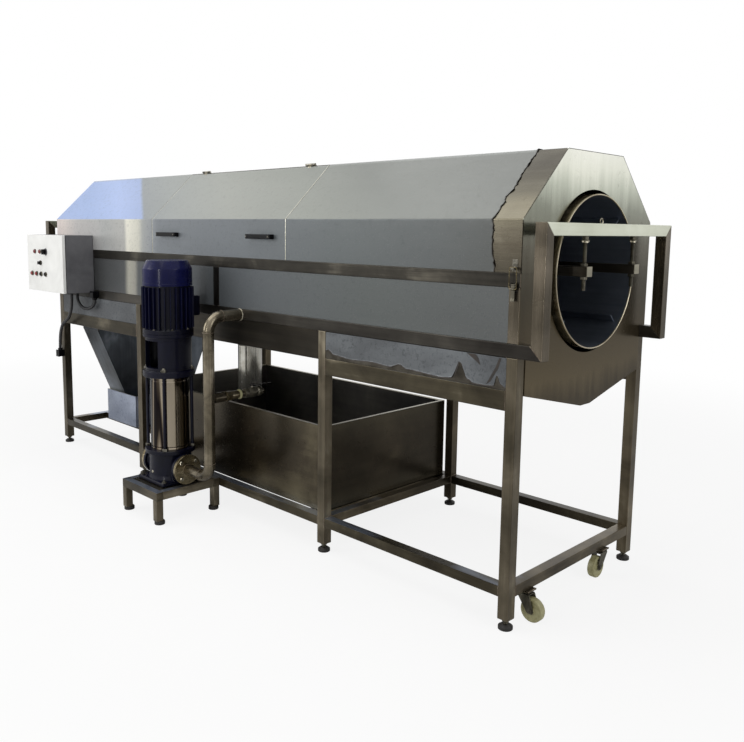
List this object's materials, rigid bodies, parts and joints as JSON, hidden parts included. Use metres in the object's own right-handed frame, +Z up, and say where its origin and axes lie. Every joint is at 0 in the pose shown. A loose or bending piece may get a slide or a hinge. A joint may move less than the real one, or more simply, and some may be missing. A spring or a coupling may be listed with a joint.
{
  "type": "walnut peeling machine",
  "caption": "Long drum washer that rubs and rinses the husk off walnuts, with a hinged hood, water tank, upright pump, control cabinet and leg frame.",
  "frame": {"origin": "on the floor under the middle of the machine", "axes": "+X along the drum towards its feed mouth, +Y from the pump side to the rear, +Z up"},
  "size_m": [4.19, 1.46, 1.913],
  "materials": {
    "frame_steel": "warm brushed square tube",
    "sheet_steel": "brushed sheet and pipe",
    "film_sheet": "steel sheet under its pale protective film",
    "pump_paint": "dark navy gloss paint",
    "black_plastic": "black moulded",
    "cabinet_paint": "pale powder coat",
    "red_plastic": "red gloss",
    "wheel_cream": "cream tread",
    "polished_steel": "polished stainless steel",
    "galvanised_steel": "zinc plated"
  },
  "bodies": {
    "frame": {"front_leg_frame": "frame_steel", "rear_leg_frame": "frame_steel", "deck_frame": "frame_steel", "guard_near": "frame_steel", "guard_far": "frame_steel", "front_top_frame": "frame_steel", "rear_wall": "frame_steel", "pump_stand": "frame_steel", "end_plate_near": "sheet_steel", "end_plate_far": "sheet_steel", "trough": "sheet_steel", "discharge_pipe": "sheet_steel", "water_tank": "sheet_steel", "front_panel_near": "film_sheet", "front_panel_far": "film_sheet", "front_skirt_near": "film_sheet", "front_skirt_far": "film_sheet", "catch_box": "film_sheet", "gearmotor": "pump_paint", "pump_base": "pump_paint", "pump_head": "pump_paint", "pump_motor": "pump_paint", "fan_cowl": "pump_paint", "front_foot_near": "black_plastic", "front_foot_mid_near": "black_plastic", "front_foot_mid_far": "black_plastic", "front_foot_far": "black_plastic", "rear_foot_near": "black_plastic", "rear_foot_mid_near": "black_plastic", "rear_foot_mid_far": "black_plastic", "rear_foot_far": "black_plastic", "conduit_loop": "black_plastic", "conduit_leg": "black_plastic", "cabinet_box": "cabinet_paint", "pump_sleeve": "polished_steel"},
    "hood": {"hood_shell": "film_sheet"},
    "hood_door": {"hood_door": "film_sheet", "door_handle_near": "black_plastic", "door_handle_far": "black_plastic"},
    "latch_lever": {"latch_lever": "polished_steel"},
    "latch_bail": {"latch_bail": "polished_steel"},
    "drum": {"drum": "sheet_steel"},
    "roller_front": {"roller_shaft_front": "frame_steel"},
    "roller_rear": {"roller_shaft_rear": "frame_steel"},
    "spray": {"spray_rack": "sheet_steel"},
    "pump_rotor": {"pump_shaft": "polished_steel"},
    "valve": {"valve_lever": "red_plastic"},
    "cabinet_door": {"cabinet_door": "cabinet_paint"},
    "selector": {"selector_knob": "black_plastic"},
    "main_switch": {"main_switch_knob": "black_plastic"},
    "button_1": {"push_button_1": "red_plastic"},
    "button_2": {"push_button_2": "red_plastic"},
    "button_3": {"push_button_3": "black_plastic"},
    "button_4": {"push_button_4": "black_plastic"},
    "caster_front": {"caster_fork_front": "galvanised_steel"},
    "caster_rear": {"caster_fork_rear": "galvanised_steel"},
    "wheel_front": {"caster_wheel_front": "wheel_cream"},
    "wheel_rear": {"caster_wheel_rear": "wheel_cream"}
  },
  "joints": [
    {"name": "hood_lid", "type": "hinge", "parent": "frame", "child": "hood", "pos_m": [0.045, 0.721, 1.418], "axis": [-1, 0, 0], "range_deg": [0, 70]},
    {"name": "hood_door_swing", "type": "hinge", "parent": "hood", "child": "hood_door", "pos_m": [0.0065, -0.037, 1.907], "axis": [-1, 0, 0], "range_deg": [0, 105]},
    {"name": "latch_lever_turn", "type": "hinge", "parent": "frame", "child": "latch_lever", "pos_m": [1.965, -0.3385, 1.373], "axis": [-1, 0, 0], "range_deg": [0, 90]},
    {"name": "latch_bail_turn", "type": "hinge", "parent": "latch_lever", "child": "latch_bail", "pos_m": [1.965, -0.344, 1.358], "axis": [-1, 0, 0], "range_deg": [-90, 0]},
    {"name": "drum_spin", "type": "hinge", "parent": "frame", "child": "drum", "pos_m": [0.045, 0.19, 1.41], "axis": [1, 0, 0], "continuous": true},
    {"name": "roller_front_spin", "type": "hinge", "parent": "frame", "child": "roller_front", "pos_m": [0.045, -0.10749, 1.16037], "axis": [1, 0, 0], "continuous": true},
    {"name": "roller_rear_spin", "type": "hinge", "parent": "frame", "child": "roller_rear", "pos_m": [0.045, 0.48749, 1.16037], "axis": [1, 0, 0], "continuous": true},
    {"name": "spray_height", "type": "slide", "parent": "frame", "child": "spray", "axis": [0, 0, 1], "range_m": [-0.04, 0.08]},
    {"name": "pump_rotor_spin", "type": "hinge", "parent": "frame", "child": "pump_rotor", "pos_m": [-0.13, -0.53, 0.895], "axis": [0, 0, 1], "continuous": true},
    {"name": "valve_turn", "type": "hinge", "parent": "frame", "child": "valve", "pos_m": [0.25, -0.25, 0.728], "axis": [0, 0, 1], "range_deg": [0, 90]},
    {"name": "cabinet_door_swing", "type": "hinge", "parent": "frame", "child": "cabinet_door", "pos_m": [-1.917, -0.52, 1.322], "axis": [0, 0, -1], "range_deg": [0, 120]},
    {"name": "selector_turn", "type": "hinge", "parent": "cabinet_door", "child": "selector", "pos_m": [-1.7, -0.559, 1.323], "axis": [0, 1, 0], "range_deg": [-45, 45]},
    {"name": "main_switch_turn", "type": "hinge", "parent": "cabinet_door", "child": "main_switch", "pos_m": [-1.618, -0.559, 1.399], "axis": [0, 1, 0], "range_deg": [0, 90]},
    {"name": "button_1_press", "type": "slide", "parent": "cabinet_door", "child": "button_1", "axis": [0, 1, 0], "range_m": [0, 0.004], "stiffness_N_per_m": 400},
    {"name": "button_2_press", "type": "slide", "parent": "cabinet_door", "child": "button_2", "axis": [0, 1, 0], "range_m": [0, 0.004], "stiffness_N_per_m": 400},
    {"name": "button_3_press", "type": "slide", "parent": "cabinet_door", "child": "button_3", "axis": [0, 1, 0], "range_m": [0, 0.004], "stiffness_N_per_m": 400},
    {"name": "button_4_press", "type": "slide", "parent": "cabinet_door", "child": "button_4", "axis": [0, 1, 0], "range_m": [0, 0.004], "stiffness_N_per_m": 400},
    {"name": "caster_front_swivel", "type": "hinge", "parent": "frame", "child": "caster_front", "pos_m": [1.975, -0.18, 0.1187], "axis": [0, 0, 1], "continuous": true},
    {"name": "wheel_front_spin", "type": "hinge", "parent": "caster_front", "child": "wheel_front", "pos_m": [2.01, -0.18, 0.053], "axis": [0, 1, 0], "continuous": true},
    {"name": "caster_rear_swivel", "type": "hinge", "parent": "frame", "child": "caster_rear", "pos_m": [1.975, 0.43, 0.1187], "axis": [0, 0, 1], "continuous": true},
    {"name": "wheel_rear_spin", "type": "hinge", "parent": "caster_rear", "child": "wheel_rear", "pos_m": [1.975, 0.395, 0.053], "axis": [1, 0, 0], "continuous": true}
  ],
  "couplings": [
    {"joint": "roller_front_spin", "follows": "drum_spin", "ratio": -5.4667},
    {"joint": "roller_rear_spin", "follows": "drum_spin", "ratio": -5.4667},
    {"joint": "latch_bail_turn", "follows": "latch_lever_turn", "ratio": -1}
  ]
}
